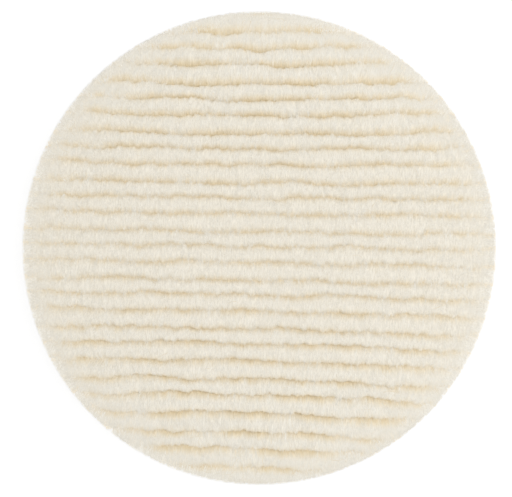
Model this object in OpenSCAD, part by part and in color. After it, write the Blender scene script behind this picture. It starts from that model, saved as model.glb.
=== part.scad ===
// Round wool polishing pad for a hook-and-loop backing plate.
// Rows of wool tufts are stitched through a ground cloth and locked by a latex coat.
// A foam core cushions the cloth, and a loop backing holds the pad on the machine's plate.
// Millimetres, +Z out of the wool face, rows along X, origin at the centre of the loop face.

/* [Wool pile] */
// Diameter of the wool face, over the tips of the outermost tufts
face_d = 150; // [110:1:200]
// Rows of tufts across the face
row_count = 28; // [18:1:36]
// Length of the pile, from the ground cloth to the tips
pile_len = 9; // [6:0.5:12]
// Lean of the outermost tufts from upright, in degrees
rim_lean = 52; // [30:1:80]
// How closely the lean gathers at the rim
lean_power = 4; // [3:1:10]
// Depth of the valleys between rows in the middle of the face
valley_depth = 2.6; // [1.5:0.1:3.5]
// Depth of the valleys where they run out at the rim
rim_valley_depth = 0.3; // [0.1:0.1:1]
// Gap between neighbouring rows at their widest
valley_gap = 0.4; // [0.3:0.05:0.8]
// Sideways wander of the valleys along their length
wander = 0.4; // [0:0.05:0.6]
// Length of the longest wave in that wander
wander_wave = 52; // [40:1:80]
// Unevenness of the spacing from one valley to the next
unevenness = 0.35; // [0:0.05:0.5]
// Slow drift of the valleys across the face
drift = 0.45; // [0:0.05:0.8]
// Fanning apart of the rows from left to right, at the rim
row_fan = 1.5; // [0:0.1:2.5]

/* [Tuft roots] */
// Width of a row where it stands on the cloth
root_w = 2.6; // [1.8:0.1:3]
// Width of the yarn that passes through the cloth
stitch_w = 1.4; // [1:0.1:1.7]
// Thickness of the back stitches under the cloth
stitch_t = 0.5; // [0.3:0.05:0.7]
// Clearance around the yarn in its slot and groove
stitch_clear = 0.05; // [0.02:0.01:0.1]
// Distance from the end of a row to the end of its stitches
stitch_inset = 2; // [1.5:0.5:4]

/* [Layers] */
// Margin of ground cloth outside the tuft rows
cloth_margin = 0.5; // [0.3:0.1:2]
// Thickness of the ground cloth
cloth_t = 0.8; // [0.5:0.1:1.5]
// Thickness of the latex coat
latex_t = 1; // [0.8:0.1:2]
// Step from the edge of the cloth in to the edge of the latex coat
latex_inset = 0.6; // [0.3:0.1:1]
// Thickness of each film of hot-melt glue
glue_t = 0.25; // [0.1:0.05:0.5]
// Step from the edge of the foam in to the edge of each glue film
glue_inset = 1.2; // [0.8:0.1:4]
// Step from the edge of the cloth in to the edge of the foam core
foam_inset = 1.6; // [1:0.1:5]
// Thickness of the foam core
foam_t = 10; // [5:0.5:20]
// Depth that the cut edge of the foam is drawn in
foam_draw = 0.8; // [0.3:0.1:1.5]
// Step from the edge of the foam in to the edge of the loop backing
loop_inset = 2; // [1:0.1:8]
// Thickness of the loop backing
loop_t = 2.2; // [1.5:0.1:4]
// Rounding of the lower edge of the loop backing
loop_round = 0.9; // [0.3:0.1:1.2]

/* [Hidden] */
$fn = 96;

// Reach of the outermost pile past its roots, along the arc that it bends in
rim_reach = pile_len * (1 - cos(rim_lean)) / radians(rim_lean);
planted_r = face_d / 2 - rim_reach;
cloth_r = planted_r + cloth_margin;
latex_r = cloth_r - latex_inset;
foam_r = cloth_r - foam_inset;
glue_r = foam_r - glue_inset;
loop_r = foam_r - loop_inset;

// Heights of the layers, from the loop face up
loop_top = loop_t;
foam_bottom = loop_top + glue_t;
foam_top = foam_bottom + foam_t;
latex_bottom = foam_top + glue_t;
cloth_bottom = latex_bottom + latex_t;
cloth_top = cloth_bottom + cloth_t;

// Turn that sets the waves of one valley apart from those of the next
valley_turn = 121.9;

// The strip at the very edge that is too narrow to take another row
rim_strip = 0.1;
row_pitch = 2 * (planted_r - rim_strip) / row_count;

// Sections along a row, and the points over its rounded top
row_steps = 17;
crown_angles = [0, 45, 90, 135, 180];
// Each section has those points, and a waist and a root on either side
ring_size = len(crown_angles) + 4;
// How closely the valleys run out at the rim
run_out_power = 7;
// Height of the waist of a row, and how much of its flare it has there
waist_height = 0.36;
waist_flare = 0.75;
// How far the yarn runs up inside its row
stitch_grip = 1.5;
// How far a cut runs past the face that it opens
cut_past = 1;

wool = [0.90, 0.86, 0.77];
cloth = [0.84, 0.79, 0.68];
latex = [0.93, 0.91, 0.84];
glue = [0.88, 0.87, 0.83];
foam = [0.62, 0.63, 0.64];
loop = [0.90, 0.90, 0.88];

function radians(degrees) = degrees * PI / 180;
function row_name(i) = str("tuft_row_", i < 10 ? "0" : "", i);

// Half the chord of the planted circle at a distance from its centre
function half_chord(y) = sqrt(max(planted_r * planted_r - y * y, 0));

// Share of the way to the planted rim, gathered towards the rim by a power
function rim_share(r, power) = pow(min(r / planted_r, 1), power);

// Where a strand of pile rooted at x, y has got to at a share h of its length.
// It bends outwards along an arc that is tighter towards the rim.
function pile_point(x, y, h) =
    let(
        r = norm([x, y]),
        bend = max(rim_lean * rim_share(r, lean_power), 0.01),
        out = pile_len * (1 - cos(bend * h)) / radians(bend),
        up = pile_len * sin(bend * h) / radians(bend),
        spread = r > 0 ? 1 + out / r : 1
    )
    [x * spread, y * spread, cloth_top + up];

// Share of the pile's length left at a point of a row, where across runs from -1 to 1
function crown_height(x, y, across) =
    let(
        run_out = rim_share(norm([x, y]), run_out_power),
        depth = valley_depth + (rim_valley_depth - valley_depth) * run_out
    )
    1 - depth / pile_len * (1 - sqrt(1 - across * across));

// Valley 0 and the last one are the rim itself, which has no gap and doesn't wander
function inner_valley(j) = j > 0 && j < row_count ? 1 : 0;

// Line of valley j at x. Its waves are set apart from those of the next valley by a fixed turn.
function valley_y(j, x) =
    let(
        straight = (j - row_count / 2) * row_pitch,
        turn = j * valley_turn,
        long_wave = sin(360 * x / wander_wave + turn),
        short_wave = sin(360 * x / (wander_wave * 0.6) - 2.3 * turn),
        slow = cos(360 * (j / row_count - 0.5)) + 0.5 * sin(22.5 * j - 57),
        fan = row_fan * x / planted_r * straight / planted_r
    )
    straight + inner_valley(j) * (
        wander * (0.6 * long_wave + 0.4 * short_wave)
        + unevenness * sin(turn - 119) + drift * slow + fan
    );

// Half the gap between the two rows beside valley j
function half_gap(j) = inner_valley(j) * valley_gap / 2;

// Middle line of row i, where it stands on the cloth
function row_y(i) = (i - row_count / 2 - 0.5) * row_pitch;

// Half the length of the stitches of row i, inside the planted circle
function stitch_half(i) = half_chord(abs(row_y(i)) + root_w / 2) - stitch_inset;

// A point of row i. share runs along the row from -1 to 1, and across from -1 to 1.
function row_point(i, share, across) =
    let(
        plain_x = share * half_chord(row_y(i) + across * row_pitch / 2),
        low = valley_y(i - 1, plain_x) + half_gap(i - 1),
        high = valley_y(i, plain_x) - half_gap(i),
        y = (low + high) / 2 + across * (high - low) / 2
    )
    [share * half_chord(y), y];

// Ring of points round row i: root, waist, rounded top, waist and root
function row_ring(i, share) =
    let(
        sides = [-1, 1],
        edges = [for (side = sides) row_point(i, share, side)],
        roots = [
            for (side = sides)
                let(y = row_y(i) + side * root_w / 2)
                [share * half_chord(y), y]
        ],
        waists = [for (k = [0, 1]) roots[k] + waist_flare * (edges[k] - roots[k])],
        crown = [
            for (a = crown_angles)
                let(p = row_point(i, share, -cos(a)))
                pile_point(p.x, p.y, crown_height(p.x, p.y, -cos(a)))
        ]
    )
    concat(
        [pile_point(roots[0].x, roots[0].y, 0)],
        [pile_point(waists[0].x, waists[0].y, waist_height)],
        crown,
        [pile_point(waists[1].x, waists[1].y, waist_height)],
        [pile_point(roots[1].x, roots[1].y, 0)]
    );

// Disc between two heights
module disc(r, bottom, top) {
    translate([0, 0, bottom]) cylinder(r = r, h = top - bottom);
}

// Bar along X, centred on y, between two heights
module bar(half_len, y, width, bottom, top) {
    translate([-half_len, y - width / 2, bottom]) cube([2 * half_len, width, top - bottom]);
}

// Brushed loop cloth that grips the hooks of the machine's plate
module loop_backing() {
    edge = [
        for (a = [0:15:90])
            [loop_r - loop_round + loop_round * sin(a), loop_round - loop_round * cos(a)]
    ];
    color(loop) rotate_extrude() polygon(concat([[0, 0]], edge, [[loop_r, loop_top], [0, loop_top]]));
}

// Film of hot-melt glue between the loop backing and the foam
module backing_glue() {
    color(glue) disc(min(glue_r, loop_r - loop_round), loop_top, foam_bottom);
}

// Resilient foam disc, drawn in round its edge where the die cut it
module foam_core() {
    // The torus that cuts the edge passes foam_draw deep at half the height
    cut_r = (foam_t * foam_t / 4 + foam_draw * foam_draw) / (2 * foam_draw);
    color(foam) difference() {
        disc(foam_r, foam_bottom, foam_top);
        translate([0, 0, foam_bottom + foam_t / 2])
            rotate_extrude() translate([foam_r - foam_draw + cut_r, 0]) circle(r = cut_r);
    }
}

// Film of hot-melt glue between the foam and the latex coat
module pile_glue() {
    color(glue) disc(glue_r, foam_top, latex_bottom);
}

// Latex coat, moulded round the back stitches
module latex_coat() {
    color(latex) difference() {
        disc(latex_r, latex_bottom, cloth_bottom);
        for (i = [1:row_count])
            bar(
                stitch_half(i) + stitch_clear, row_y(i), root_w + 2 * stitch_clear,
                cloth_bottom - stitch_t - stitch_clear, cloth_bottom + cut_past
            );
    }
}

// Woven ground cloth, with a slot for the yarn of each row
module ground_cloth() {
    color(cloth) difference() {
        disc(cloth_r, cloth_bottom, cloth_top);
        for (i = [1:row_count])
            bar(
                stitch_half(i) + stitch_clear, row_y(i), stitch_w + 2 * stitch_clear,
                cloth_bottom - cut_past, cloth_top + cut_past
            );
    }
}

// Pile of row i above the cloth, as one closed skin over its rings
module pile(i) {
    points = [for (k = [0:row_steps]) each row_ring(i, 2 * k / row_steps - 1)];
    skin = [
        for (k = [0:row_steps - 1], m = [0:ring_size - 1])
            let(
                next = (m + 1) % ring_size,
                a = k * ring_size + m,
                b = k * ring_size + next,
                c = a + ring_size,
                d = b + ring_size
            )
            each [[a, b, c], [b, d, c]]
    ];
    last = row_steps * ring_size;
    ends = [
        for (m = [1:ring_size - 2])
            each [[0, m + 1, m], [last, last + m, last + m + 1]]
    ];
    polyhedron(points = points, faces = concat(skin, ends), convexity = 4);
}

// One row of wool tufts, with the yarn that runs through the cloth and its back stitches
module tuft_row(i) {
    color(wool) union() {
        pile(i);
        bar(stitch_half(i), row_y(i), stitch_w, cloth_bottom - stitch_t / 2, cloth_top + stitch_grip);
        bar(stitch_half(i), row_y(i), root_w, cloth_bottom - stitch_t, cloth_bottom);
    }
}

loop_backing();
backing_glue();
foam_core();
pile_glue();
latex_coat();
ground_cloth();
for (i = [1:row_count])
    tuft_row(i);
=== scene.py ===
import math

import bpy
import numpy as np
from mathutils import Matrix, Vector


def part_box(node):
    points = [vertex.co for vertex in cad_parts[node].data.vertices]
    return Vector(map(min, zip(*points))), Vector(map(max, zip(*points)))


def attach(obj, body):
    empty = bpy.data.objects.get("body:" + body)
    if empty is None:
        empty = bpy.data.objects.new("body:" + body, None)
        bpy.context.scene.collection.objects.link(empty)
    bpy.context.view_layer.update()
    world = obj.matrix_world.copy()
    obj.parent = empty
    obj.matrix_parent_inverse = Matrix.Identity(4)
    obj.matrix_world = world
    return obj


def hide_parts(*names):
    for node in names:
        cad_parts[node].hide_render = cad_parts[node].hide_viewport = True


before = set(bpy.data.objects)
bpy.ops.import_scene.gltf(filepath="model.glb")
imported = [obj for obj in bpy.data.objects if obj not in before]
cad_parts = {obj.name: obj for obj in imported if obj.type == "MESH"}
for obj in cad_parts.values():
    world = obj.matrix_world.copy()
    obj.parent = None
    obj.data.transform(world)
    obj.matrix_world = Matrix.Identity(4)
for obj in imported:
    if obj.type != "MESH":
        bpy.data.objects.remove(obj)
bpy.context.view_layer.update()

MM = 0.001
TINY = 1e-6
TURN = 2 * math.pi
UP = np.array([0.0, 0.0, 1.0])

# Seed of the whole pad, and the steps from it to the seeds of its sub-parts
SEED = 5104
SEED_STEPS = {
    "row": 0,
    "opening": 100,
    "rim": 200,
    "foam": 300,
    "weave": 310,
    "yarn": 320,
    "latex_coat": 330,
    "pile_glue": 340,
    "backing_glue": 345,
    "loop_sheet": 350,
    "loop_nap": 360,
    "wobble": 400,
}

# Layout of the pile in millimetres, as the part's source has it
FACE_R = 75.0
PILE_LEN = 9.0
RIM_LEAN = math.radians(52)
LEAN_POWER = 4
RUN_OUT_POWER = 7
VALLEY_DEPTH = 2.6
RIM_VALLEY_DEPTH = 0.3
ROW_COUNT = 28
WANDER = 0.4
WANDER_WAVE = 52.0
UNEVENNESS = 0.35
DRIFT = 0.45
ROW_FAN = 1.5
VALLEY_TURN = 121.9
RIM_STRIP = 0.1
PLANTED_R = FACE_R - PILE_LEN * (1 - math.cos(RIM_LEAN)) / RIM_LEAN
ROW_PITCH = 2 * (PLANTED_R - RIM_STRIP) / ROW_COUNT
CLOTH_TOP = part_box("ground_cloth")[1][2] / MM

# How the rows lie over towards the rim
CREST_SHIFT = 0.5
CREST_REACH = 55.0
OVERHANG = 0.25
RIM_FALL = 1.1
RIM_FALL_POWER = 16
NORMAL_TILT = 0.25
SIDE_TILT = 0.43

# Valleys. Each wave is a strength and a length in millimetres.
FULL_VALLEY_DEPTH = 1.9
MIDDLE_DEPTH_SHARE = 0.8
STEEP_SHARE = 0.7
STEEP_FROM = 0.45
VALLEY_FADE = 9.0
WOBBLE = 0.28
WOBBLE_WAVES = ((1.0, 9.0), (0.7, 2.4), (0.8, 24.0))
SHORT_OPENINGS = ((0.45, 6.5), (0.4, 2.2))
LONG_OPENING = 24.0
OPENING = 0.84
OPENING_SPREAD = 0.7
MOST_OPEN = 1.2
# Painted valley shade over the real tan of the deeper wool: its strength, the extra on the outer rows, and
# its reach in millimetres
VALLEY_TAN_AND_SHADE = 0.42
OUTER_TAN_AND_SHADE = 0.33
TAN_AND_SHADE_REACH = 1.0

# Fibres on the rows, and how the locks and the single fibres differ
STRANDS_PER_MM = 95
LOCKS_PER_MM = 16.0
STRAND_RADIUS = 0.075
RADIUS_RANGE = (0.7, 1.3)
ROW_SOFTNESS = 0.9
LOCK_LENGTH = 0.13
LOCK_BREADTH = 0.22
LOCK_REACH = 0.06
LOCK_LIGHT = 0.24
LOCK_FALL = 0.18
LOCK_SWAY = 0.2
LOCK_RISE = 0.06
STRAND_FALL = 0.15
STRAND_SWAY = 0.16
STRAND_RISE = (0.05, 0.08)
SWAY_WAVES = ((0.25, 7.0),)
RISE_WAVES = ((0.10, 5.0),)
JAG_WAVES = ((0.22, 2.6), (0.26, 0.9))
CREST_WIDTH = 1.6
SIDE_FALL = 0.42
OUTWARD_FALL = 0.5
FRINGE = 0.05
TIP_REACH = 0.92
CLOSED_REACH = 0.25
CLOSED_RISE = 0.35
ROOT_SINK = 0.2
ROOT_SHADE = 0.2
TRIM = (0.05, 0.6)
CALM_SHARE = 0.6
CALM_FROM = 57.0
CALM_TO = 70.0

# Bed of wool under the single fibres
CORE_STEP = 0.7
CORE_LAP = 1.01
CORE_DEPTH = 0.35
CORE_INSET = 0.25
CORE_EDGE = 2.6
CORE_FALL = 5.0
CORE_WAVES = ((0.012, 7.0),)
RIM_SINK = 0.4

# Fibres that flare out over the rim, with their lean in degrees
RIM_STRANDS_PER_MM = 75
RIM_STRAND_RADIUS = 0.09
RIM_SOFTNESS = 0.96
RIM_TIP_SHARE = 0.45
RIM_LOCK_WIDTH = 1.3
RIM_LAYERS = 4
RIM_DEPTH = 3.5
RIM_LEAN_FROM = 50
RIM_LEAN_RANGE = 52
RIM_LEAN_SPREAD = 5
RIM_LEAN_LIMITS = (45, 118)
RIM_SHORTFALL = 0.15
RIM_BULGE = 0.8
RIM_BULGE_LEAN = math.radians(72)
RIM_BULGE_SPAN = math.radians(40)
RIM_CURL = 0.16
RIM_CURL_TURN = 5
# Painted light of the rim fibres: tan and painted shade in the valleys, painted shade low on the wall, and a
# random darkening of the wall's locks that is partly their own tone and partly painted shade between them
RIM_VALLEY_TAN_AND_SHADE = 0.58
RIM_WALL_SHADE = 0.4
RIM_WALL_TONE_AND_SHADE = 0.55
RIM_WALL_FROM = 55
RIM_WALL_SPAN = 35

# Stray hairs
STRAYS_PER_ROW = 4
STRAY_RADIUS = 0.065
STRAY_LENGTH = (3.0, 6.5)
STRAY_INSET = 2

# Strand meshes: three sides, a direction that no fibre follows, tapers, and bands of the bake map
SIDES = 3
ASIDE = np.array([0.31, 0.12, 0.94])
LEAST_SHARE = 0.2
CUT_SOFTNESS = 0.5
LONG_TAPER = (1.0, 1.0, 0.9, 0.7)
SHORT_TAPER = (1.0, 0.8)
YARN_TAPER = (1.0, 0.9)
NO_TAPER = (1.0, 1.0, 1.0, 1.0)
ROW_BAND = (0.0, 0.75)
RIM_BAND = (0.77, 0.98)
STRAY_BAND = (0.985, 1.0)
SLIVER_SHAPE = 4

# Cloth, latex, glue, foam and loops
FOAM_STEPS = 2060
FOAM_ROWS = 44
FOAM_DRAW = 0.8
FOAM_TRIM = 0.15
FOAM_CELL = 0.75
FOAM_PIT = 0.36
FOAM_PIN = 0.126
FOAM_FLATS = ((6.0,), (0.5,))
WEAVE_STEPS = 2000
YARN_PITCH = 0.9
YARN_FIBRE = 0.05
FIBRES_PER_YARN = 9
POURED_STEPS = 1080
LATEX_RIPPLE = 0.15
LATEX_BUMPS = 90
GLUE_RIPPLE = 0.3
GLUE_BUMPS = 50
LOOP_STEPS = 1500
LOOP_ROUND = 0.5
LOOP_HEIGHT = 0.55
LOOP_FIBRE = 0.07
LOOPS_BELOW = 16000
LOOPS_BESIDE = 4000
LOOPS_PER_PIECE = 8000
KNIT_PITCH = 1.1
KNIT_RIBS = 360

# Colours, and the size of the streaks in the wool
# The wool runs with its light value from tan, which holds painted shade of the valleys and roots, to cream.
WOOL_COLOURS = [(0.0, (0.805, 0.677, 0.46)), (0.5, (0.868, 0.778, 0.614)), (1.0, (0.887, 0.856, 0.777))]
BED_STREAKS = [(0.3, (0.865, 0.85, 0.82)), (0.5, (0.965, 0.96, 0.955)), (0.7, (1.06, 1.06, 1.06))]
# The foam runs with its light value from the painted shade of its pits to the colour of its skin.
FOAM_COLOURS = [(0.0, (0.13, 0.133, 0.137)), (0.55, (0.265, 0.272, 0.28)), (1.0, (0.36, 0.37, 0.38))]
FOAM_CELL_SHADE = [(0.42, (0.7, 0.7, 0.7)), (0.56, (1.06, 1.06, 1.06))]
LATEX_COLOURS = ((0.83, 0.79, 0.69), (0.66, 0.60, 0.48))
GLUE_COLOURS = ((0.76, 0.73, 0.63), (0.58, 0.53, 0.42))
STREAK_SIZE = (0.4, 1.8, 1.8)

# Light tent, floor and camera in metres. The tent's walls are brighter than its roof.
HORIZON_LIGHT = 1.1
ZENITH_LIGHT = 0.62
SOFTBOX_SIZE = 0.7
SOFTBOX_POWER = 2.1
SOFTBOX_PLACE = (0.4, 0.06, 0.75)
FLOOR_SIZE = 6
FLOOR_DROP = 0.0002
FLOOR_WHITE = 0.95
FLOOR_SHOWN = 0.4
FLOOR_LIFT = 0.74
CAMERA_HEIGHT = 1.3
CAMERA_TURN = math.radians(1.0)
SENSOR_MM = 36
RIM_HEIGHT = 0.019
PICTURE_PX = 512
FACE_PX = 475.0
EYE_SHIFT_PX = (-3.3, -0.6)


def sin_deg(angle):
    return np.sin(np.radians(angle))


def seeded(name, number=0):
    return np.random.default_rng(SEED + SEED_STEPS[name] + number)


def smooth_noise(rng, x, wave, terms=7):
    """Smooth random curve along x, from about -1 to 1, with features about one wave long."""
    total = np.zeros_like(x, dtype=float)
    for _ in range(terms):
        length = wave * rng.uniform(0.6, 1.7)
        total += np.sin(TURN * x / length + rng.uniform(0, TURN))
    return total / math.sqrt(terms * 1.6)


def noise_sum(rng, x, waves):
    """Smooth random curve along x, made of waves that each have a strength and a length."""
    return sum(strength * smooth_noise(rng, x, length) for strength, length in waves)


def smooth_step(start, end, x):
    t = np.clip((x - start) / (end - start), 0, 1)
    return t * t * (3 - 2 * t)


def unit(v):
    return v / np.maximum(np.linalg.norm(v, axis=-1, keepdims=True), 1e-9)


def level_vector(x, y):
    return np.stack([x, y, np.zeros_like(x)], -1)


def pull_in(x, y, limit):
    """Draws places in to a circle round the axis."""
    inside = np.minimum(1, limit / np.maximum(np.hypot(x, y), TINY))
    return x * inside, y * inside


# Pile layout


def half_chord(y):
    return np.sqrt(np.maximum(PLANTED_R**2 - y * y, 0))


def rim_share(r, power):
    return np.minimum(r / PLANTED_R, 1) ** power


def pile_point(x, y, h):
    """Where a fibre rooted at x, y has got to at a share h of the pile's length."""
    r = np.hypot(x, y)
    bend = np.maximum(RIM_LEAN * rim_share(r, LEAN_POWER), 1e-4)
    out = PILE_LEN * (1 - np.cos(bend * h)) / bend
    up = PILE_LEN * np.sin(bend * h) / bend
    spread = 1 + out / np.maximum(r, TINY)
    return np.stack([x * spread, y * spread, CLOTH_TOP + up], -1)


def straight_valley(j):
    return (j - ROW_COUNT / 2) * ROW_PITCH


def valley_y(j, x):
    """Line of valley j: the formula of the part's source, and small bends."""
    straight = straight_valley(j)
    if not 0 < j < ROW_COUNT:
        return np.full_like(x, straight)
    turn = j * VALLEY_TURN
    long_wave = sin_deg(360 * x / WANDER_WAVE + turn)
    short_wave = sin_deg(360 * x / (WANDER_WAVE * 0.6) - 2.3 * turn)
    slow = -math.cos(TURN * j / ROW_COUNT) + 0.5 * sin_deg(22.5 * j - 57)
    fan = ROW_FAN * x / PLANTED_R * straight / PLANTED_R
    wander = WANDER * (0.6 * long_wave + 0.4 * short_wave)
    uneven = UNEVENNESS * sin_deg(turn - 119) + DRIFT * slow
    wobble = WOBBLE * noise_sum(seeded("wobble", j), x, WOBBLE_WAVES)
    return straight + wander + uneven + fan + wobble


def row_y(i):
    return straight_valley(i - 0.5)


def between_valleys(i, x, across):
    low = valley_y(i - 1, x)
    high = valley_y(i, x)
    return (low + high) / 2 + across * (high - low) / 2


def row_plan(i, share, across):
    """Place on the cloth of a point of row i. share and across run from -1 to 1."""
    plain_x = share * half_chord(row_y(i) + across * ROW_PITCH / 2)
    y = between_valleys(i, plain_x, across)
    return share * half_chord(y), y


def row_line(i, x, across):
    """Place on the cloth at x in row i, kept inside the planted circle."""
    return pull_in(x, between_valleys(i, x, across), PLANTED_R)


def outward_bias(y):
    """How far the fibres of a row lie over towards the rim, from -1 to 1."""
    return np.clip(y / CREST_REACH, -1, 1)


def place_on_ridge(y, across):
    """0 on the crest of a row and -1 or 1 in the valleys beside it."""
    bias = outward_bias(y)
    crest = CREST_SHIFT * bias
    upper = 1 + OVERHANG * np.maximum(bias, 0)
    lower = 1 + OVERHANG * np.maximum(-bias, 0)
    width = np.where(across > crest, upper - crest, lower + crest)
    return np.clip((across - crest) / width, -1, 1)


def valley_share(x, y):
    """Depth of the valleys as a share of the deepest, which runs out towards the rim."""
    run_out = rim_share(np.hypot(x, y), RUN_OUT_POWER)
    full = MIDDLE_DEPTH_SHARE + (1 - MIDDLE_DEPTH_SHARE) * np.abs(outward_bias(y))
    return full * (1 + (RIM_VALLEY_DEPTH / VALLEY_DEPTH - 1) * run_out)


def crown_height(x, y, across):
    """Share of the pile's length that the row's rounded top reaches."""
    t = place_on_ridge(y, across)
    steep = smooth_step(STEEP_FROM, 1.0, np.abs(t))
    hollow = STEEP_SHARE * steep + (1 - STEEP_SHARE) * (1 - np.sqrt(1 - t * t))
    drop = FULL_VALLEY_DEPTH * valley_share(x, y) * hollow
    return 1 - (drop + RIM_FALL * rim_share(np.hypot(x, y), RIM_FALL_POWER)) / PILE_LEN


def valley_fade(x, y):
    """1 over most of a valley's length, falling to 0 where it runs out at the rim."""
    from_end = np.clip((half_chord(y) - np.abs(x)) / VALLEY_FADE, 0, 1)
    return 1 - (1 - from_end) ** 1.5


def valley_open(j, x):
    """1 where valley j gapes and 0 where fibres of both rows close over it. Outer ones are more even."""
    rng = seeded("opening", j)
    outer = abs(outward_bias(straight_valley(j)))
    short_waves = noise_sum(rng, x, SHORT_OPENINGS)
    wave = (1 - 0.5 * outer) * short_waves + (0.45 + 0.15 * outer) * smooth_noise(rng, x, LONG_OPENING)
    return np.clip(OPENING + 0.06 * outer + OPENING_SPREAD * wave, 0, MOST_OPEN)


def openness(i, x, across):
    return np.where(across > 0, valley_open(i, x), valley_open(i - 1, x))


def valley_distance(y, across):
    """Millimetres from the line where a row meets the next one, as seen from above."""
    lap = OVERHANG * outward_bias(y)
    edge = np.where(across > 0, 1 + lap, 1 - lap)
    return np.maximum(edge - np.abs(across), 0) * ROW_PITCH / 2


def tan_and_shade_light(i, x, y, across):
    """Light value of the fibres: 1 on the pale crests and least at the bottom of an open valley. There it
    paints the tan of the deeper wool together with the shade that falls into the valley.
    """
    tan_and_shade_depth = VALLEY_TAN_AND_SHADE + OUTER_TAN_AND_SHADE * np.abs(outward_bias(y))
    tan_and_shade_falloff = np.exp(-((valley_distance(y, across) / TAN_AND_SHADE_REACH) ** 1.6))
    return 1 - tan_and_shade_depth * valley_fade(x, y) * openness(i, x, across) * tan_and_shade_falloff


def ridge_normal(x, y, across, h):
    """Normal of the row's rounded top: the pile's own lean, turned to the side by the place across."""
    r = np.maximum(np.hypot(x, y), TINY)
    bend = NORMAL_TILT * RIM_LEAN * rim_share(r, LEAN_POWER) * h
    side = SIDE_TILT * place_on_ridge(y, across) * valley_share(x, y)
    rise = np.sqrt(1 - side * side)
    return unit(np.stack([np.sin(bend) * x / r, np.sin(bend) * y / r + side, np.cos(bend) * rise], -1))


# Mesh building


class MeshParts:
    """Collects the vertices, faces, shades and bake map of one piece."""

    def __init__(self):
        self.parts = []
        self.count = 0

    def add(self, points, normals, shades, quads, tris, quad_map, tri_map):
        vertices = (points.reshape(-1, 3), normals.reshape(-1, 3), shades.reshape(-1, 4))
        faces = (quads + self.count, tris + self.count)
        self.parts.append((*vertices, *faces, quad_map.reshape(-1, 2), tri_map.reshape(-1, 2)))
        self.count += len(vertices[0])

    def build(self, name, material):
        points, normals, shades, quads, tris, quad_map, tri_map = map(np.concatenate, zip(*self.parts))
        mesh = bpy.data.meshes.new(name)
        mesh.vertices.add(len(points))
        fill(mesh.vertices, "co", points * MM)
        corners = np.concatenate([quads.ravel(), tris.ravel()])
        mesh.loops.add(len(corners))
        fill(mesh.loops, "vertex_index", corners, np.int32)
        starts = np.concatenate([np.arange(len(quads)) * 4, 4 * len(quads) + np.arange(len(tris)) * 3])
        mesh.polygons.add(len(starts))
        fill(mesh.polygons, "loop_start", starts, np.int32)
        mesh.update(calc_edges=True)
        mesh.shade_smooth()
        fill(mesh.attributes.new("shade", "FLOAT_COLOR", "POINT").data, "color", shades)
        fill(mesh.uv_layers.new(name="OFBake").data, "uv", np.concatenate([quad_map, tri_map]))
        if np.any(normals):
            mesh.normals_split_custom_set_from_vertices(normals.astype(np.float32))
        mesh.materials.append(material)
        piece = bpy.data.objects.new(name, mesh)
        bpy.context.scene.collection.objects.link(piece)
        return piece


def fill(data, name, values, kind=np.float32):
    data.foreach_set(name, values.astype(kind).ravel())


def add_piece(parts, name, material, node=None):
    piece = parts.build(name, material)
    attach(piece, "root")
    if node:
        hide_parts(node)
    return piece


def shade_values(light, tone=0.5, group=0.5):
    """Shade of each vertex: its light, its own tone and the tone of its lock."""
    light, tone, group = np.broadcast_arrays(light, tone, group)
    return np.stack([light, tone, group, np.ones_like(light, dtype=float)], -1)


def ring_quads(bands, ring):
    """Quads between closed rings of vertices, with each one's band and its place round the ring."""
    k, m = np.meshgrid(np.arange(bands), np.arange(ring), indexing="ij")
    near, far = k * ring, (k + 1) * ring
    after = (m + 1) % ring
    return np.stack([near + m, near + after, far + after, far + m], -1).reshape(-1, 4), k, m


def quad_corners(left, right, low, high):
    """Bake map of quads that are upright boxes in the map."""
    return np.stack([left, low, right, low, right, high, left, high], -1).reshape(-1, 4, 2)


def sliver_map(count, rings, band):
    """Bake map of strands: each has a sliver of its own in a band of the map."""
    low, high = band
    lines = max(1, int(math.sqrt(count * (high - low) / SLIVER_SHAPE)))
    columns = math.ceil(count / lines)
    number = np.arange(count)
    left = (number % columns) / columns
    bottom = low + (number // columns) * (high - low) / lines
    levels = np.repeat(np.linspace(0, 0.8, rings), SIDES)
    u = left[:, None] + np.tile([0.2, 0.5, 0.8], rings)[None] / columns
    v = bottom[:, None] + (0.1 + 0.8 * levels)[None] * (high - low) / lines
    u = np.column_stack([u, left + 0.5 / columns])
    v = np.column_stack([v, bottom + 0.95 * (high - low) / lines])
    return np.stack([u, v], -1)


def strand_frames(paths):
    """Directions along and across strands, carried from point to point without a twist."""
    along = unit(np.gradient(paths, axis=1))
    sides = [unit(np.cross(along[:, 0], ASIDE))]
    for k in range(1, paths.shape[1]):
        turned = np.sum(sides[-1] * along[:, k], axis=-1, keepdims=True)
        sides.append(unit(sides[-1] - turned * along[:, k]))
    side = np.stack(sides, 1)
    return along, side, np.cross(along, side)


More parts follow.
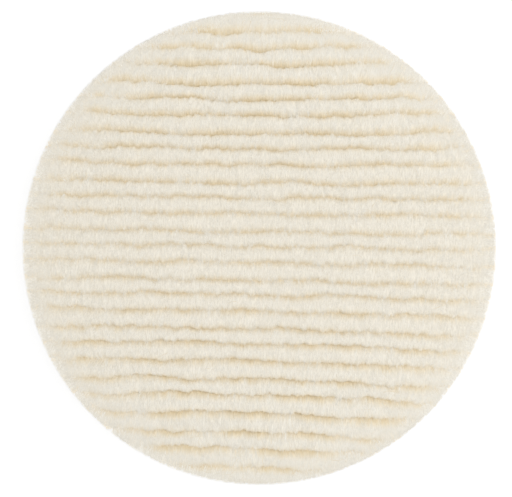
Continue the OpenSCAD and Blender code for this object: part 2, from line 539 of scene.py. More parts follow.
def add_strands(
    parts, paths, radius, taper, soft_normals, shades, softness, band=(0, 1), tip_share=LEAST_SHARE
):
    """Closed three-sided strands along paths, each ending in a point.

    Arrays run over strands, then points. The normals are partly the soft ones of the whole pile.
    """
    count, steps = paths.shape[:2]
    along, side, other = strand_frames(paths)
    step_of = np.append(np.repeat(np.arange(steps - 1), SIDES), steps - 1)
    outward = []
    for k in range(steps - 1):
        for turn in np.radians([90, 210, 330]):
            outward.append(math.cos(turn) * side[:, k] + math.sin(turn) * other[:, k])
    outward = np.stack([*outward, along[:, -1]], 1)
    width = radius[:, None] * np.append(taper, 0)[step_of]
    points = paths[:, step_of] + outward * width[..., None]
    soft = soft_normals[:, step_of]
    facing = np.clip(np.sum(outward * soft, axis=-1, keepdims=True), 0, 1)
    least = np.linspace(LEAST_SHARE, tip_share, steps)[step_of][None, :, None]
    share = softness * (least + (1 - least) * facing)
    normals = unit(share * soft + (1 - share) * outward)
    quads, _, _ = ring_quads(steps - 2, SIDES)
    end = SIDES * (steps - 2)
    tip = SIDES * (steps - 1)
    tris = [[end, end + 1, tip], [end + 1, end + 2, tip], [end + 2, end, tip], [0, 2, 1]]
    base = (np.arange(count) * (tip + 1))[:, None, None]
    quads = (base + quads[None]).reshape(-1, 4)
    tris = (base + np.array(tris)[None]).reshape(-1, 3)
    spots = sliver_map(count, steps - 1, band).reshape(-1, 2)
    parts.add(points, normals, shades[:, step_of], quads, tris, spots[quads], spots[tris])


# Wool rows


def add_core(parts, i, rng):
    """Closed ridge under the fibres of row i."""
    half = float(half_chord(row_y(i)))
    end = CORE_EDGE * np.linspace(0, 1, 7) ** 1.4
    middle = np.linspace(-1, 1, max(16, int(2 * half / CORE_STEP))) * (half - CORE_EDGE)
    share = np.concatenate([-half + end[:-1] + CORE_INSET, middle, half - CORE_INSET - end[-2::-1]]) / half
    steps = len(share) - 1
    across = np.sin(np.radians(np.linspace(-90, 90, 13))) * CORE_LAP
    rim_side = 1 - 2 * CORE_INSET / ROW_PITCH
    across = np.clip(across, -rim_side if i == 1 else -2, rim_side if i == ROW_COUNT else 2)
    s, c = np.meshgrid(share, across, indexing="ij")
    x, y = row_plan(i, s, c)
    r = np.maximum(np.hypot(x, y), TINY)
    lumps = noise_sum(rng, x, CORE_WAVES)
    edge = np.clip(1 - (PLANTED_R - r) / CORE_EDGE, 0, 1)
    round_off = np.sqrt(1 - edge * edge)
    sink = CORE_DEPTH + RIM_SINK * rim_share(r, RUN_OUT_POWER) + CORE_FALL * (1 - round_off)
    h = crown_height(x, y, c) - sink / PILE_LEN + lumps
    top = pile_point(x, y, h)
    radial = level_vector(x / r, y / r)
    top_normals = unit(ridge_normal(x, y, c, h) * round_off[..., None] + radial * edge[..., None])
    # Painted shade: the bed is darker than the fibres over it, and darker still towards its rounded end at
    # the rim.
    top_shades = shade_values(tan_and_shade_light(i, x, y, c) - 0.15 - 0.1 * edge**2)
    foot = np.clip(np.array([CORE_LAP, 0.5, -0.5, -CORE_LAP]), across.min(), across.max())
    s2, c2 = np.meshgrid(share, foot, indexing="ij")
    x2, y2 = row_plan(i, s2, c2)
    under = pile_point(x2, y2, np.array([0.03, 0.0, 0.0, 0.03]))
    under_normals = unit(level_vector(x2, y2))
    # Painted shade under the bed.
    under_shades = shade_values(np.full_like(x2, 0.6))
    points = np.hstack([top, under])
    normals = np.hstack([top_normals, under_normals])
    shades = np.hstack([top_shades, under_shades])
    ring = points.shape[1]
    quads, k, m = ring_quads(steps, ring)
    quads = quads[:, [0, 3, 2, 1]]
    bottom, above = 0.05 + 0.9 * m / ring, 0.05 + 0.9 * (m + 1) / ring
    quad_map = quad_corners(k / steps, (k + 1) / steps, bottom, above)
    fan = np.arange(1, ring - 1)
    first_end = np.stack([0 * fan, fan, fan + 1], -1)
    tris = np.concatenate([first_end, steps * ring + first_end[:, [0, 2, 1]]])
    turn = round_angles(ring)
    end_spots = np.stack([0.5 + 0.4 * np.cos(turn), 0.02 + 0.015 * np.sin(turn)], -1)
    parts.add(points, normals, shades, quads, tris, quad_map, end_spots[tris % ring])


def add_row_strands(parts, i, rng):
    """Fibres on top of row i: they lie in locks from its crest to the valleys, and outwards near the rim."""
    length = 2 * float(half_chord(row_y(i)))
    count = int(length * STRANDS_PER_MM)
    locks = int(length * LOCKS_PER_MM)
    bias = outward_bias(row_y(i))
    lock_share = rng.uniform(-1, 1, locks)
    lock_across = rng.uniform(-1, 1, locks)
    lock_lean = rng.normal(0, 1, (locks, 2))
    lock_rise = rng.normal(0, 1, locks)
    lock_tone = rng.uniform(0, 1, locks)
    lock_reach = rng.normal(0, LOCK_REACH, locks)
    lock_light = rng.normal(0, LOCK_LIGHT, locks)
    pick = rng.integers(0, locks, count)
    share = np.clip(lock_share[pick] + rng.normal(0, LOCK_LENGTH, count) / (length / 2), -1, 1)
    root = np.clip(lock_across[pick] + rng.normal(0, LOCK_BREADTH, count), -1, 1)
    x0, _ = row_plan(i, share, root)
    side = np.clip(CREST_WIDTH * (root - CREST_SHIFT * bias), -1, 1)
    fall = SIDE_FALL * side * (1 - abs(bias)) + OUTWARD_FALL * bias
    fall = fall + LOCK_FALL * lock_lean[pick, 1] + rng.normal(0, STRAND_FALL, count)
    jags = [noise_sum(rng, x0, JAG_WAVES) for _ in range(2)]
    fringe = lock_reach[pick] + rng.normal(0, FRINGE, count)
    upper_open = valley_open(i, x0)
    lower_open = valley_open(i - 1, x0)
    upper = TIP_REACH + CLOSED_REACH * (1 - upper_open) + OVERHANG * max(bias, 0) + fringe + jags[0]
    lower = -(TIP_REACH + CLOSED_REACH * (1 - lower_open) + OVERHANG * max(-bias, 0) + fringe + jags[1])
    if i == ROW_COUNT:
        upper = np.ones(count)
    if i == 1:
        lower = -np.ones(count)
    tip = np.clip(root + fall, lower, upper)
    sway = LOCK_SWAY * lock_lean[pick, 0] + rng.normal(0, STRAND_SWAY, count)
    sway = sway + noise_sum(rng, x0, SWAY_WAVES)
    closing = 1 - np.where(tip > 0, upper_open, lower_open)
    rise = LOCK_RISE * lock_rise[pick] + rng.normal(*STRAND_RISE, count) + noise_sum(rng, x0, RISE_WAVES)
    rise = rise + CLOSED_RISE * closing * np.abs(tip) ** 3
    _, y0 = row_line(i, x0, root)
    spread = 1 - CALM_SHARE * smooth_step(CALM_FROM, CALM_TO, np.hypot(x0, y0))
    tone = 0.5 + spread * (rng.uniform(0, 1, count) - 0.5)
    group = 0.5 + spread * (lock_tone[pick] - 0.5)
    sunk = (CORE_DEPTH + ROOT_SINK) * rng.uniform(0.9, 1.3, count)
    paths, normals, shades = [], [], []
    for q in (0.0, 0.55, 1.0):
        across = root + (tip - root) * q**1.2
        x, y = row_line(i, x0, across)
        h = crown_height(x, y, across) + (rise * q * q - sunk * (1 - q) ** 2.2) / PILE_LEN
        point = pile_point(x, y, h)
        point[:, 0] += sway * q
        paths.append(point)
        normals.append(ridge_normal(x, y, across, h))
        slope = np.abs(place_on_ridge(y, across)) ** 1.5 * valley_fade(x, y)
        light = tan_and_shade_light(i, x, y, across) - ROOT_SHADE * (1 - q) ** 2 + lock_light[pick] * slope
        shades.append(shade_values(light, tone, group))
    paths, normals, shades = (np.stack(part, 1) for part in (paths, normals, shades))
    limit = FACE_R - rng.uniform(*TRIM, (count, 1))
    paths[..., 0], paths[..., 1] = pull_in(paths[..., 0], paths[..., 1], limit)
    radius = STRAND_RADIUS * rng.uniform(*RADIUS_RANGE, count)
    add_strands(parts, paths, radius, SHORT_TAPER, normals, shades, ROW_SOFTNESS, ROW_BAND)


def add_rim_strands(parts, i):
    """Full-length fibres of row i at the rim, in locks that flare out. Those that lean far are its wall."""
    rng = seeded("rim")
    total = int(TURN * PLANTED_R * RIM_STRANDS_PER_MM)
    theta = rng.uniform(0, TURN, total)
    inset = rng.uniform(0, 1, total) ** 1.5
    layer = rng.integers(0, RIM_LAYERS, total)
    locks_round = int(TURN * PLANTED_R / RIM_LOCK_WIDTH)
    locks = RIM_LAYERS * locks_round
    lock_place = theta / TURN * locks_round + layer / RIM_LAYERS
    lock = (np.floor(lock_place).astype(int) * RIM_LAYERS + layer) % locks
    from_centre = (lock_place % 1 - 0.5) * RIM_LOCK_WIDTH
    lock_lean = rng.normal(0, 1, (locks, 2))[lock]
    lock_tone = rng.uniform(0.9, 1, locks)[lock]
    # Each lock of the wall is darkened at random, most low down: random tone and painted shade between the
    # locks.
    wall_tone_and_shade = rng.uniform(0, RIM_WALL_TONE_AND_SHADE, locks)[lock]
    lean = RIM_LEAN_FROM + RIM_LEAN_RANGE * (1 - inset) * rng.uniform(0, 1, total)
    lean = lean + RIM_LEAN_SPREAD * lock_lean[:, 0] + rng.normal(0, RIM_LEAN_SPREAD, total)
    lean = np.radians(np.clip(lean, *RIM_LEAN_LIMITS))
    short = rng.uniform(0, RIM_SHORTFALL, total)
    curl_turn = rng.uniform(0, TURN, total)
    sideways = 0.35 * lock_lean[:, 1] + rng.normal(0, 0.25, total) - 0.5 * from_centre
    tone = rng.uniform(0.93, 1, total)
    radius = RIM_STRAND_RADIUS * rng.uniform(*RADIUS_RANGE, total)
    x, y = PLANTED_R * np.cos(theta), PLANTED_R * np.sin(theta)
    low = valley_y(i - 1, x) if i > 1 else np.full(total, -FACE_R)
    high = valley_y(i, x) if i < ROW_COUNT else np.full(total, FACE_R)
    across = 2 * (y - low) / (high - low) - 1
    valley = openness(i, x, across) * smooth_step(0.5, 1.0, np.abs(across)) * np.abs(np.cos(theta))
    wall = np.clip((np.degrees(lean) - RIM_WALL_FROM) / RIM_WALL_SPAN, 0, 1)
    wall_tone_and_shade = wall * wall_tone_and_shade
    root_r = PLANTED_R - RIM_DEPTH * inset
    tip_r = FACE_R - RIM_BULGE * ((lean - RIM_BULGE_LEAN) / RIM_BULGE_SPAN) ** 2 - short
    length = np.minimum(PILE_LEN - short, (tip_r - root_r) * lean / (1 - np.cos(lean)))
    radial = level_vector(np.cos(theta), np.sin(theta))
    around = level_vector(-np.sin(theta), np.cos(theta))
    paths, shades = [], []
    for q in (0.0, 0.3, 0.6, 0.85, 1.0):
        out = length * (1 - np.cos(lean * q)) / lean
        up = length * np.sin(lean * q) / lean
        sway = RIM_CURL * np.sin(curl_turn + RIM_CURL_TURN * q) + sideways * q * q
        plan = radial * (root_r + out)[:, None] + around * sway[:, None]
        paths.append(plan + UP * (CLOTH_TOP + up)[:, None])
        # Painted shade: each fibre darkens towards its root, in the valleys and low on the wall, where its
        # lock is also darkened at random.
        below_tip = 1 - 0.92 * q * q
        rising = 0.3 + 0.7 * min(1, q / 0.85) ** 0.7
        light = np.clip(rising - RIM_VALLEY_TAN_AND_SHADE * valley - RIM_WALL_SHADE * wall * below_tip, 0, 1)
        shades.append(shade_values(light, tone, lock_tone - wall_tone_and_shade * below_tip))
    mine = (y >= low) & (y < high)
    paths, shades = np.stack(paths, 1)[mine], np.stack(shades, 1)[mine]
    paths[..., 0], paths[..., 1] = pull_in(paths[..., 0], paths[..., 1], FACE_R)
    normals = np.broadcast_to(UP, paths.shape)
    radius = radius[mine]
    add_strands(parts, paths, radius, LONG_TAPER, normals, shades, RIM_SOFTNESS, RIM_BAND, RIM_TIP_SHARE)


def add_stray_hairs(parts, i, rng):
    """Loose hairs of row i that lie across it and the rows beside it."""
    half = float(half_chord(row_y(i)))
    x0 = rng.uniform(-0.9, 0.9, STRAYS_PER_ROW) * half
    turn = rng.uniform(0, TURN, STRAYS_PER_ROW)
    bend = rng.normal(0, 0.9, STRAYS_PER_ROW)
    length = rng.uniform(*STRAY_LENGTH, STRAYS_PER_ROW)
    light = rng.uniform(0.1, 0.7, STRAYS_PER_ROW)
    paths = []
    for q in (0.0, 0.25, 0.5, 0.75, 1.0):
        heading = turn + bend * q
        x = x0 + length * q * np.cos(heading)
        y = row_y(i) + length * q * np.sin(heading)
        lift = 0.94 + 0.05 * math.sin(math.pi * min(1.0, 1.6 * q))
        paths.append(pile_point(*pull_in(x, y, PLANTED_R - STRAY_INSET), lift))
    paths = np.stack(paths, 1)
    normals = np.broadcast_to(UP, paths.shape)
    shades = np.repeat(shade_values(light, 0.3, 0.4)[:, None], 5, axis=1)
    radius = STRAY_RADIUS * rng.uniform(0.8, 1.2, STRAYS_PER_ROW)
    add_strands(parts, paths, radius, LONG_TAPER, normals, shades, ROW_SOFTNESS, STRAY_BAND)


def wool_row(i, material, bed_material):
    rng = seeded("row", i)
    node = f"tuft_row_{i:02d}"
    core = MeshParts()
    add_core(core, i, rng)
    add_piece(core, f"wool_bed_{i:02d}", bed_material, node)
    strands = MeshParts()
    add_row_strands(strands, i, rng)
    add_rim_strands(strands, i)
    add_stray_hairs(strands, i, rng)
    fibres = add_piece(strands, f"wool_fibres_{i:02d}", material, node)
    # The fibres cast no shadow and take no part in bounced light, so the shade between them is painted into
    # their colour.
    fibres.visible_shadow = False
    fibres.visible_diffuse = False


# Layers under the pile


def ring_noise(rng, theta, bumps, terms=9):
    """Smooth random curve round a circle, from about -1 to 1, with about the given number of bumps."""
    total = np.zeros_like(theta)
    for _ in range(terms):
        turns = rng.integers(int(0.5 * bumps), int(1.6 * bumps))
        total += np.sin(turns * theta + rng.uniform(0, TURN))
    return total / math.sqrt(terms * 1.6)


def round_angles(steps):
    return np.arange(steps) * TURN / steps


def turned_piece(radii, heights, shades, name, material, node):
    """Closed piece turned round the axis. Arrays run along its profile, from below to above, then round."""
    rows, steps = radii.shape
    heights = np.broadcast_to(heights, radii.shape)
    theta = round_angles(steps)
    rings = np.stack([radii * np.cos(theta), radii * np.sin(theta), heights], -1).reshape(-1, 3)
    poles = np.array([[0, 0, heights[0].mean()], [0, 0, heights[-1].mean()]])
    points = np.concatenate([rings, poles])
    pole_shades = np.stack([shades[0].mean(0), shades[-1].mean(0)])
    quads, k, m = ring_quads(rows - 1, steps)
    quad_map = quad_corners(m / steps, (m + 1) / steps, (k + 1) / (rows + 1), (k + 2) / (rows + 1))
    column = np.arange(steps)
    after = (column + 1) % steps
    last = (rows - 1) * steps
    below = np.stack([np.full(steps, rows * steps), after, column], -1)
    above = np.stack([np.full(steps, rows * steps + 1), last + column, last + after], -1)
    left, right = column / steps, (column + 1) / steps
    middle = (left + right) / 2
    flat_low, flat_high = np.full(steps, 1 / (rows + 1)), np.full(steps, rows / (rows + 1))
    below_map = np.stack([middle, np.zeros(steps), right, flat_low, left, flat_low], -1)
    above_map = np.stack([middle, np.ones(steps), left, flat_high, right, flat_high], -1)
    tri_map = np.concatenate([below_map, above_map]).reshape(-1, 3, 2)
    shades = np.concatenate([shades.reshape(-1, 4), pole_shades])
    tris = np.concatenate([below, above])
    parts = MeshParts()
    parts.add(points, np.zeros_like(points), shades, quads, tris, quad_map, tri_map)
    return add_piece(parts, name, material, node)


def layer_box(node):
    """Outer radius, bottom and top of a layer in millimetres."""
    low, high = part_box(node)
    return high[0] / MM, low[2] / MM, high[2] / MM


def edge_profile(radius, bottom, top, rounding, rows):
    """Columns of radii and heights of a disc's rounded rim, from inside it below to inside it above."""
    turn = np.linspace(-90, 90, rows)
    half = (top - bottom) / 2 - rounding
    radii = radius - rounding + rounding * np.cos(np.radians(turn))
    heights = (bottom + top) / 2 + np.sign(turn) * half + rounding * sin_deg(turn)
    inner = radius - 4 * rounding
    return np.c_[[inner, *radii, inner]], np.c_[[bottom, *heights, top]]


def rim_part(radii):
    """0 on the flat faces of a disc, rising to 1 at its rim."""
    return np.clip((radii - radii[0]) / (radii.max() - radii[0]), 0, 1)


def cell_distance(u, v, columns, rng):
    """Distance to the nearest pore of a jittered grid, in pore sizes. It repeats after that many columns."""
    lines = int(v.max()) + 3
    jitter = rng.uniform(0.0, 1.0, (columns, lines, 2))
    size = rng.uniform(0.55, 1.25, (columns, lines))
    cell_u, cell_v = np.floor(u).astype(int), np.floor(v).astype(int) + 1
    nearest = np.full(u.shape, 9.0)
    for du in (-1, 0, 1):
        for dv in (-1, 0, 1):
            a, b = (cell_u + du) % columns, np.clip(cell_v + dv, 0, lines - 1)
            gap_u = cell_u + du + jitter[a, b, 0] - u
            gap_v = cell_v - 1 + dv + jitter[a, b, 1] - v
            nearest = np.minimum(nearest, np.hypot(gap_u, gap_v) / size[a, b])
    return nearest


def foam_disc(material):
    """Open-cell foam with a side that is drawn in between its glued faces and pitted by cut cells."""
    rng = seeded("foam")
    radius, bottom, top = layer_box("foam_core")
    theta, level = np.meshgrid(round_angles(FOAM_STEPS), np.linspace(0, 1, FOAM_ROWS))
    drawn_in = FOAM_DRAW * (1 - (2 * level - 1) ** 2)
    columns = int(TURN * radius / FOAM_CELL)
    u = theta / TURN * columns
    v = level * (top - bottom) / FOAM_CELL
    coarse = cell_distance(u, v, columns, rng)
    fine = cell_distance(u * 2, v * 2, columns * 2, rng)
    pit = np.clip(1 - coarse / 0.62, 0, 1) ** 0.6
    pin = np.clip(1 - fine / 0.5, 0, 1) ** 0.8
    rows_in = np.minimum(level, 1 - level) * FOAM_ROWS
    depth = (FOAM_PIT * pit + FOAM_PIN * pin) * np.clip(rows_in / 2, 0, 1)
    uneven = 0.12 * ring_noise(rng, theta, 40) + 0.06 * ring_noise(rng, theta + 3 * level, 160)
    radii = radius - FOAM_TRIM - drawn_in - depth + uneven * np.clip(rows_in / 4, 0, 1)
    heights = bottom + (top - bottom) * level
    # Painted shade in the cut cells: the pits are darker than the foam's skin.
    light = np.clip(1 - 0.9 * pit - 0.4 * pin, 0, 1)
    shades = shade_values(light, rng.uniform(0, 1, radii.shape))
    flat = np.broadcast_to(radius - np.array(FOAM_FLATS), (2, FOAM_STEPS))
    radii = np.concatenate([flat, radii, flat[::-1]])
    heights = np.pad(heights, ((2, 2), (0, 0)), "edge")
    flat_shades = np.broadcast_to(shade_values(0.7), (2, FOAM_STEPS, 4))
    shades = np.concatenate([flat_shades, shades, flat_shades])
    piece = turned_piece(radii, heights, shades, "foam_disc", material, "foam_core")


def ground_weave(material):
    """Woven cloth that carries the tufts, with a rib at its cut edge for each yarn."""
    rng = seeded("weave")
    radius, bottom, top = layer_box("ground_cloth")
    theta = round_angles(WEAVE_STEPS)
    radii, heights = edge_profile(radius - 0.1, bottom, top, 0.3, 9)
    x, y = radius * np.cos(theta), radius * np.sin(theta)
    warp = np.sin(TURN * x / YARN_PITCH) * np.sin(theta) ** 2
    weft = np.sin(TURN * y / YARN_PITCH) * np.cos(theta) ** 2
    ribs = warp + weft
    shown = np.clip(np.gradient(heights, axis=0), 0, 0.1) / 0.1
    radii = radii + shown * (0.07 * ribs + 0.05 * ring_noise(rng, theta, 150))
    # Painted shade: the ribs are paler and the grooves between them darker.
    shades = shade_values(0.5 + 0.45 * ribs, rng.uniform(0, 1, radii.shape))
    return turned_piece(radii, heights, shades, "ground_weave", material, "ground_cloth")


def yarn_ends(material):
    """Frayed ends of the warp and weft where the cloth was cut round."""
    rng = seeded("yarn")
    radius, bottom, top = layer_box("ground_cloth")
    yarns = int(2 * radius / YARN_PITCH) - 2
    offsets = (np.arange(yarns) - (yarns - 1) / 2) * YARN_PITCH
    ends = np.sqrt(radius**2 - offsets**2)
    zero, one = np.zeros(yarns), np.ones(yarns)
    warp = [(offsets, ends, zero, one), (offsets, -ends, zero, -one)]
    weft = [(ends, offsets, one, zero), (-ends, offsets, -one, zero)]
    x, y, dx, dy = (np.concatenate(part) for part in zip(*warp, *weft))
    steep = np.abs(x * dx + y * dy) / radius > 0.55
    x, y, dx, dy = (np.repeat(part[steep], FIBRES_PER_YARN) for part in (x, y, dx, dy))
    count = len(x)
    low, high = bottom + 0.15, top - 0.15
    level = rng.uniform(low, high, count)
    stick_out = rng.gamma(2.0, 0.13, count)
    aside = rng.normal(0, 0.14, count)
    stray = rng.normal(0, 0.22, (count, 2)) * stick_out[:, None]
    paths = []
    for q in (0.0, 0.5, 1.0):
        along = -0.5 + (0.45 + np.minimum(stick_out, 0.8)) * q
        px = x + dx * along + dy * aside + dy * stray[:, 0] * q
        py = y + dy * along + dx * aside + dx * stray[:, 0] * q
        paths.append(np.stack([px, py, np.clip(level + stray[:, 1] * q, low - 0.1, high + 0.1)], -1))
    paths = np.stack(paths, 1)
    outward = unit(np.stack([x, y, 0.3 * radius * np.ones(count)], -1))
    normals = np.repeat(outward[:, None], 3, axis=1)
    shades = shade_values(rng.uniform(0.2, 1, count), rng.uniform(0, 1, count))
    shades = np.repeat(shades[:, None], 3, axis=1)
    thickness = YARN_FIBRE * rng.uniform(0.8, 1.3, count)
    parts = MeshParts()
    add_strands(parts, paths, thickness, YARN_TAPER, normals, shades, CUT_SOFTNESS)
    return add_piece(parts, "yarn_ends", material)


def poured_layer(node, name, material, ripple, bumps):
    """Film or coat that was poured or spread, with an edge that isn't quite even."""
    rng = seeded(node)
    radius, bottom, top = layer_box(node)
    theta = round_angles(POURED_STEPS)
    radii, heights = edge_profile(radius - ripple, bottom, top, 0.3 * (top - bottom), 9)
    swell = 0.6 * ring_noise(rng, theta, bumps) + 0.4 * ring_noise(rng, theta, 4 * bumps)
    radii = radii + rim_part(radii) * ripple * np.clip(swell, -1, 1)
    # The edge is paler where it swells out and darker where it draws in.
    shades = shade_values(np.broadcast_to(0.5 + 0.3 * swell, radii.shape))
    turned_piece(radii, heights, shades, name, material, node)


def loop_sheet(material):
    """Knitted base of the loop face."""
    rng = seeded("loop_sheet")
    radius, bottom, top = layer_box("loop_backing")
    theta = round_angles(LOOP_STEPS)
    radii, heights = edge_profile(radius - LOOP_HEIGHT, bottom + LOOP_HEIGHT, top, LOOP_ROUND, 11)
    shown = rim_part(radii)
    knit = np.sin(KNIT_RIBS * theta)
    radii = radii + shown * (0.06 * knit + 0.1 * ring_noise(rng, theta, 60))
    # Painted shade: the knit's ribs are paler and the grooves between them darker, fading out towards the
    # flat face.
    shades = shade_values(0.5 + 0.3 * knit * shown, 0.5 + rng.uniform(-0.5, 0.5, radii.shape) * shown)
    return turned_piece(radii, heights, shades, "loop_sheet", material, "loop_backing")


def loop_nap(material):
    """Fine loops below the base and round its edge, for the hooks of a backing plate."""
    rng = seeded("loop_nap")
    radius, bottom, top = layer_box("loop_backing")
    below, beside = LOOPS_BELOW, LOOPS_BESIDE
    count = below + beside
    flat_r = radius - LOOP_HEIGHT
    r = np.sqrt(rng.uniform(0, 1, below)) * (flat_r - 0.4)
    theta = rng.uniform(0, TURN, count)
    radial = level_vector(np.cos(theta), np.sin(theta))
    tilt = np.radians(rng.uniform(-75, 55, beside))
    out_beside = radial[below:] * np.cos(tilt)[:, None] + UP * np.sin(tilt)[:, None]
    out = np.concatenate([np.tile(-UP, (below, 1)), out_beside])
    base = radial * np.concatenate([r, np.full(beside, flat_r - LOOP_ROUND)])[:, None]
    middle = (bottom + LOOP_HEIGHT + top) / 2
    half = (top - bottom - LOOP_HEIGHT) / 2 - LOOP_ROUND
    edge_level = middle + half * np.sign(tilt) * rng.uniform(0, 1, beside)
    base[:, 2] = np.concatenate([np.full(below, bottom + LOOP_HEIGHT), edge_level])
    base[below:] += out_beside * LOOP_ROUND
    across = unit(np.cross(out, rng.normal(0, 1, (count, 3))))
    twist = np.cross(out, across)
    height = LOOP_HEIGHT * rng.uniform(0.6, 0.98, count)
    width = rng.uniform(0.35, 0.75, count)
    stray = rng.normal(0, 0.2, count)
    paths = []
    for place, lift in ((-0.5, -0.1), (-0.55, 0.55), (0.0, 1.0), (0.55, 0.55), (0.5, -0.1)):
        offset = across * (place * width)[:, None] + out * (lift * height)[:, None]
        paths.append(base + offset + twist * (stray * max(lift, 0))[:, None])
    paths = np.stack(paths, 1)
    thickness = LOOP_FIBRE * rng.uniform(0.8, 1.2, count)
    paths[..., 2] = np.maximum(paths[..., 2], bottom + 1.1 * thickness[:, None])
    normals = np.repeat(unit(out + radial)[:, None], 5, axis=1)
    # Painted shade: each loop is darker at its two roots than at its top.
    light = np.array([0.5, 0.8, 1.0, 0.8, 0.5])
    tone = rng.uniform(0, 1, count)
    shades = shade_values(light, tone[:, None])
    pieces = []
    for number, start in enumerate(range(0, count, LOOPS_PER_PIECE), 1):
        mine = slice(start, start + LOOPS_PER_PIECE)
        parts = MeshParts()
        add_strands(parts, paths[mine], thickness[mine], NO_TAPER, normals[mine], shades[mine], CUT_SOFTNESS)
        pieces.append(add_piece(parts, f"loop_nap_{number}", material))
    return pieces


# Materials


def set_inputs(tree, node, inputs):
    """Sets each input of a node to a value, or links it to the socket that feeds it."""
    for name, value in inputs.items():
        if isinstance(value, bpy.types.NodeSocket):
            tree.links.new(value, node.inputs[name])
        else:
            node.inputs[name].default_value = value


def add_node(tree, kind, inputs, **settings):
    node = tree.nodes.new("ShaderNode" + kind)
    for name, value in settings.items():
        setattr(node, name, value)
    set_inputs(tree, node, inputs)
    return node


def new_material(name):
    material = bpy.data.materials.new(name)
    material.use_nodes = True
    tree = material.node_tree
    return material, tree, tree.nodes["Principled BSDF"]


def set_surface(tree, shader, colour, roughness, gloss):
    set_inputs(tree, shader, {"Base Color": colour, "Roughness": roughness, "Specular IOR Level": gloss})


def add_bump(tree, shader, height, strength, distance_mm):
    bump = add_node(tree, "Bump", {"Height": height, "Strength": strength, "Distance": distance_mm * MM})
    set_inputs(tree, shader, {"Normal": bump.outputs["Normal"]})


def grey(level):
    return (level, level, level)


def opaque(colour):
    return (*colour, 1) if isinstance(colour, tuple) else colour


def mix_colour(tree, a, b, factor, blend="MIX"):
    """Mix of two colours, each a tuple or a socket. The node's colour sockets are 6, 7 and 2."""
    inputs = {"Factor": factor, 6: opaque(a), 7: opaque(b)}
    return add_node(tree, "Mix", inputs, data_type="RGBA", blend_type=blend).outputs[2]


def multiply(tree, colour, tone):
    return mix_colour(tree, colour, tone, 1.0, "MULTIPLY")


def varied(tree, colour, dark, pale, factor):
    """Colour that runs with the factor from a darker to a paler shade of itself."""
    return multiply(tree, colour, mix_colour(tree, dark, pale, factor))


def shade_channels(tree):
    """Light, own tone and lock's tone, as shade_values stores them."""
    shade = add_node(tree, "Attribute", {}, attribute_name="shade")
    return add_node(tree, "SeparateColor", {"Color": shade.outputs["Color"]}).outputs[:3]


def colour_ramp(tree, factor, stops):
    ramp = add_node(tree, "ValToRGB", {"Fac": factor})
    elements = ramp.color_ramp.elements
    while len(elements) < len(stops):
        elements.new(0.5)
    for element, (place, colour) in zip(elements, stops):
        element.position = place
        element.color = opaque(colour)
    return ramp.outputs["Color"]


def object_place(tree):
    return add_node(tree, "TexCoord", {}).outputs["Object"]


def object_noise(tree, size_mm, detail=3.0):
    """Noise fixed to the object, with features of about the given size."""
    inputs = {"Vector": object_place(tree), "Scale": 1 / (size_mm * MM), "Detail": detail}
    return add_node(tree, "TexNoise", inputs).outputs["Fac"]


def fibre_streaks(tree):
    """Noise drawn out along the fibres, which lie across the rows."""
    scale = [1 / (size * MM) for size in STREAK_SIZE]
    stretch = add_node(tree, "Mapping", {"Vector": object_place(tree), "Scale": scale})
    inputs = {"Vector": stretch.outputs["Vector"], "Scale": 1.0, "Detail": 3.0, "Distortion": 0.5}
    return add_node(tree, "TexNoise", inputs).outputs["Fac"]


def woven_bands(tree, axis, pitch):
    """Bands across an axis. The wave texture has 20 radians to its unit of scale."""
    inputs = {"Vector": object_place(tree), "Scale": TURN / (20 * pitch * MM), "Distortion": 0.6}
    return add_node(tree, "TexWave", inputs, bands_direction=axis).outputs["Fac"]


def wool_material():
    """Single fibres: golden at the root and in the valleys, cream at the tips, each of its own tone. The
    golden is partly the wool's own colour and partly painted shade.
    """
    material, tree, shader = new_material("wool")
    light, tone, lock = shade_channels(tree)
    colour = colour_ramp(tree, light, WOOL_COLOURS)
    colour = varied(tree, colour, (0.93, 0.925, 0.91), grey(1.045), tone)
    # The lock's tone; low on the rim's wall it also holds painted shade.
    colour = varied(tree, colour, (0.88, 0.872, 0.855), (1.058, 1.058, 1.065), lock)
    set_surface(tree, shader, colour, 0.9, 0.2)
    return material


def wool_bed_material():
    """Mass of fibres under the single ones."""
    material, tree, shader = new_material("wool_bed")
    light, _, _ = shade_channels(tree)
    streaks = fibre_streaks(tree)
    colour = multiply(tree, colour_ramp(tree, light, WOOL_COLOURS), colour_ramp(tree, streaks, BED_STREAKS))
    set_surface(tree, shader, colour, 0.9, 0.2)
    add_bump(tree, shader, streaks, 0.35, 0.15)
    return material


def foam_material():
    material, tree, shader = new_material("foam")
    light, tone, _ = shade_channels(tree)
    colour = colour_ramp(tree, light, FOAM_COLOURS)
    colour = varied(tree, colour, grey(0.88), grey(1.08), object_noise(tree, 6.0))
    colour = varied(tree, colour, grey(0.93), grey(1.06), tone)
    # Cell-sized mottling of the foam, its darker spots painted shade of the pores.
    colour = multiply(tree, colour, colour_ramp(tree, object_noise(tree, FOAM_CELL, 1.0), FOAM_CELL_SHADE))
    set_surface(tree, shader, colour, 0.95, 0.25)
    return material


def cloth_material():
    material, tree, shader = new_material("woven_cloth")
    light, tone, _ = shade_channels(tree)
    warp, weft = (woven_bands(tree, axis, YARN_PITCH) for axis in "XY")
    weave = add_node(tree, "Math", {0: warp, 1: weft}, operation="MULTIPLY").outputs[0]
    colour = mix_colour(tree, (0.56, 0.48, 0.35), (0.76, 0.69, 0.55), light)
    colour = varied(tree, colour, (0.84, 0.83, 0.80), grey(1.08), weave)
    colour = varied(tree, colour, grey(0.93), grey(1.05), tone)
    set_surface(tree, shader, colour, 0.9, 0.2)
    add_bump(tree, shader, weave, 0.4, 0.2)
    return material


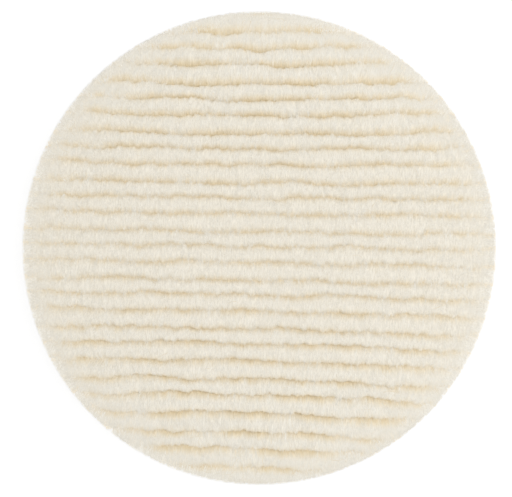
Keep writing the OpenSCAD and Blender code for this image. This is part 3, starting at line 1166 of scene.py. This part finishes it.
def poured_material(name, colours, roughness, cloud_mm):
    material, tree, shader = new_material(name)
    light, _, _ = shade_channels(tree)
    pale, deep = colours
    clouds = object_noise(tree, cloud_mm)
    colour = varied(tree, mix_colour(tree, deep, pale, light), (0.86, 0.85, 0.82), grey(1.07), clouds)
    set_surface(tree, shader, colour, roughness, 0.5)
    add_bump(tree, shader, clouds, 0.35, 0.15)
    return material


def loop_material():
    material, tree, shader = new_material("loop_fleece")
    light, tone, _ = shade_channels(tree)
    courses = woven_bands(tree, "X", KNIT_PITCH)
    colour = mix_colour(tree, (0.58, 0.58, 0.56), (0.85, 0.85, 0.825), light)
    colour = varied(tree, colour, grey(0.90), grey(1.06), tone)
    colour = varied(tree, colour, (0.80, 0.80, 0.79), grey(1.04), courses)
    colour = varied(tree, colour, (0.86, 0.86, 0.85), grey(1.08), object_noise(tree, 3.0))
    set_surface(tree, shader, colour, 0.85, 0.25)
    set_inputs(tree, shader, {"Sheen Weight": 0.2})
    add_bump(tree, shader, courses, 0.4, 0.15)
    return material


# Stage


def show_directly(tree, shown, lighting, output):
    """Gives rays from the camera, a gloss or glass one shader, and all other rays another."""
    path = add_node(tree, "LightPath", {})
    seen = path.outputs["Is Camera Ray"]
    for ray in ("Is Glossy Ray", "Is Transmission Ray"):
        seen = add_node(tree, "Math", {0: seen, 1: path.outputs[ray]}, operation="MAXIMUM").outputs[0]
    mix = add_node(tree, "MixShader", {"Fac": seen, 1: lighting, 2: shown})
    set_inputs(tree, tree.nodes[output], {"Surface": mix.outputs["Shader"]})


def floor():
    """White floor: for the camera a lifted, faintly shaded one, and for bounced light a plain white one."""
    bpy.ops.mesh.primitive_plane_add(size=FLOOR_SIZE, location=(0, 0, -FLOOR_DROP))
    plane = bpy.context.object
    plane.name = "floor"
    material, tree, shader = new_material("floor_white")
    set_surface(tree, shader, opaque(grey(FLOOR_WHITE)), 1.0, 0.0)
    shaded = add_node(tree, "BsdfDiffuse", {"Color": opaque(grey(FLOOR_SHOWN))})
    lift = add_node(tree, "Emission", {"Strength": FLOOR_LIFT})
    both = add_node(tree, "AddShader", {0: shaded.outputs["BSDF"], 1: lift.outputs["Emission"]})
    show_directly(tree, both.outputs["Shader"], shader.outputs["BSDF"], "Material Output")
    plane.data.materials.append(material)


def light_tent():
    """World that lights the object from a tent and shows plain white behind it."""
    world = bpy.data.worlds.new("studio")
    bpy.context.scene.world = world
    world.use_nodes = True
    tree = world.node_tree
    direction = add_node(tree, "TexCoord", {}).outputs["Generated"]
    height = add_node(tree, "SeparateXYZ", {"Vector": direction}).outputs["Z"]
    inputs = {"Value": height, "To Min": HORIZON_LIGHT, "To Max": ZENITH_LIGHT}
    strength = add_node(tree, "MapRange", inputs).outputs["Result"]
    tent = tree.nodes["Background"]
    set_inputs(tree, tent, {"Color": opaque(grey(1)), "Strength": strength})
    white = add_node(tree, "Background", {"Color": opaque(grey(1))})
    show_directly(tree, white.outputs["Background"], tent.outputs["Background"], "World Output")


def softbox():
    data = bpy.data.lights.new("softbox", "AREA")
    data.shape = "DISK"
    data.size = SOFTBOX_SIZE
    data.energy = SOFTBOX_POWER
    lamp = bpy.data.objects.new("softbox", data)
    lamp.location = SOFTBOX_PLACE
    lamp.rotation_euler = lamp.location.to_track_quat("Z", "Y").to_euler()
    bpy.context.scene.collection.objects.link(lamp)


def camera():
    view_width = 2 * FACE_R * MM * PICTURE_PX / FACE_PX
    data = bpy.data.cameras.new("camera")
    data.sensor_width = SENSOR_MM
    data.lens = SENSOR_MM * (CAMERA_HEIGHT - RIM_HEIGHT) / view_width
    data.clip_end = 10
    eye = bpy.data.objects.new("camera", data)
    shift = [px * view_width / PICTURE_PX for px in EYE_SHIFT_PX]
    eye.location = (*shift, CAMERA_HEIGHT)
    eye.rotation_euler = (0, 0, CAMERA_TURN)
    bpy.context.scene.collection.objects.link(eye)
    bpy.context.scene.camera = eye


bpy.context.scene.view_settings.view_transform = "Standard"
camera()
light_tent()
softbox()
floor()

wool = wool_material()
wool_bed = wool_bed_material()
for number in range(1, ROW_COUNT + 1):
    wool_row(number, wool, wool_bed)

cloth = cloth_material()
ground_weave(cloth)
yarn_ends(cloth)
latex = poured_material("latex", LATEX_COLOURS, 0.6, 2.5)
poured_layer("latex_coat", "latex_film", latex, LATEX_RIPPLE, LATEX_BUMPS)
glue = poured_material("glue", GLUE_COLOURS, 0.4, 4.0)
poured_layer("pile_glue", "pile_glue_film", glue, GLUE_RIPPLE, GLUE_BUMPS)
poured_layer("backing_glue", "backing_glue_film", glue, GLUE_RIPPLE, GLUE_BUMPS)
foam_disc(foam_material())
fleece = loop_material()
loop_sheet(fleece)
loop_nap(fleece)
